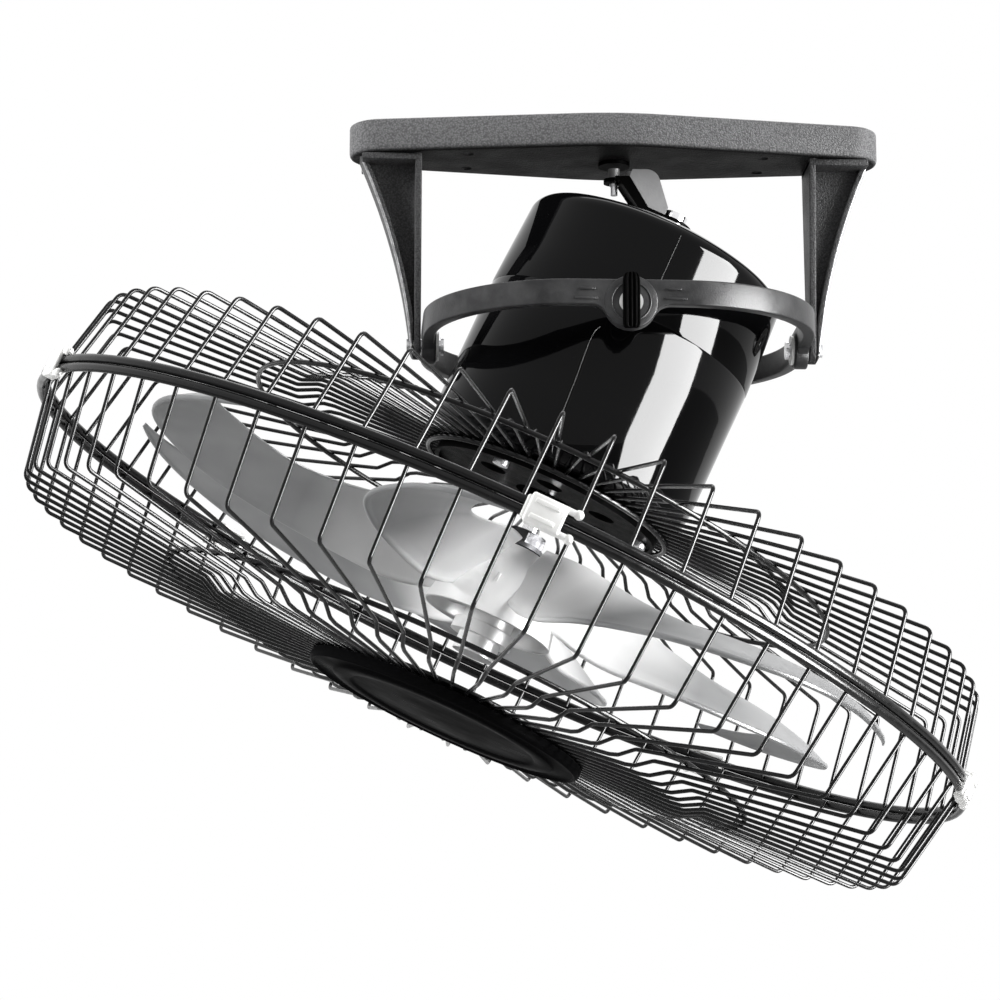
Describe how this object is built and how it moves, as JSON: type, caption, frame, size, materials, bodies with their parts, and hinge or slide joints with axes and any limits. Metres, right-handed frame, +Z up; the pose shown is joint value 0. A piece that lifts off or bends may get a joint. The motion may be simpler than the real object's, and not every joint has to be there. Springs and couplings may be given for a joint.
{
  "type": "orbital ceiling fan",
  "caption": "Ceiling-mounted orbital fan: a caged axial fan on a two-axis gimbal ring under a flat ceiling bracket, with a crank that walks the fan axis round a cone.",
  "frame": {"origin": "on the ceiling, at the centre of the four ceiling bolt holes", "axes": "+Z up, out of the ceiling plate's mounting face; +X along the plate; +Y across it"},
  "size_m": [0.472, 0.5074, 0.385],
  "materials": {
    "pebbled_black": "matt",
    "satin_grey": "satin",
    "gloss_black": "gloss",
    "guard_wire": "gloss",
    "nylon": "satin",
    "black_plastic": "satin",
    "steel": "satin",
    "chrome": "polished",
    "zinc": "satin",
    "cast_alloy": "satin",
    "blade_grey": "satin",
    "copper": "satin",
    "lamination": "matt",
    "case_grey": "satin"
  },
  "bodies": {
    "bracket": {"ceiling_plate": "pebbled_black", "leg_left": "pebbled_black", "leg_right": "pebbled_black", "orbit_socket": "black_plastic", "pivot_pin_left": "steel", "pivot_pin_right": "steel"},
    "ring": {"gimbal_ring": "satin_grey", "bush_left": "nylon", "bush_right": "nylon", "bush_front": "nylon", "bush_back": "nylon", "pivot_bar_front": "black_plastic", "pivot_bar_back": "black_plastic"},
    "head": {"motor_housing": "gloss_black", "rear_cover": "gloss_black", "bell_front": "cast_alloy", "bell_rear": "cast_alloy", "bearing_front": "steel", "bearing_rear": "steel", "stator": "lamination", "windings": "copper", "gear_plate": "cast_alloy", "orbit_motor": "zinc", "capacitor": "case_grey", "guard_plate": "black_plastic", "plate_screws": "steel", "rear_guard_wires": "guard_wire", "rear_guard_rings": "guard_wire", "front_guard_wires": "guard_wire", "front_guard_rings": "guard_wire", "front_cap": "gloss_black", "rim_clip_1": "nylon", "rim_clip_2": "nylon", "rim_clip_3": "nylon", "rim_clip_4": "nylon", "rim_clip_5": "nylon"},
    "rotor": {"motor_shaft": "chrome", "rotor_core": "lamination", "fan_impeller": "blade_grey", "blade_nut": "chrome"},
    "crank": {"output_shaft": "steel", "crank_arm": "black_plastic", "crank_cheek": "zinc", "crank_bolt": "steel", "crank_bush": "zinc", "crank_nut": "chrome"}
  },
  "joints": [
    {"name": "ring_tilt", "type": "hinge", "parent": "bracket", "child": "ring", "pos_m": [0, 0, -0.114], "axis": [1, 0, 0], "range_deg": [-24.5, 24.5]},
    {"name": "head_tilt", "type": "hinge", "parent": "ring", "child": "head", "pos_m": [0, 0, -0.114], "axis": [0, 1, 0], "range_deg": [-49, 0]},
    {"name": "fan_spin", "type": "hinge", "parent": "head", "child": "rotor", "pos_m": [0, 0, -0.114], "axis": [0.4147, 0, 0.91], "continuous": true},
    {"name": "crank_turn", "type": "hinge", "parent": "head", "child": "crank", "pos_m": [0, 0, -0.114], "axis": [0.4147, 0, 0.91], "continuous": true}
  ]
}
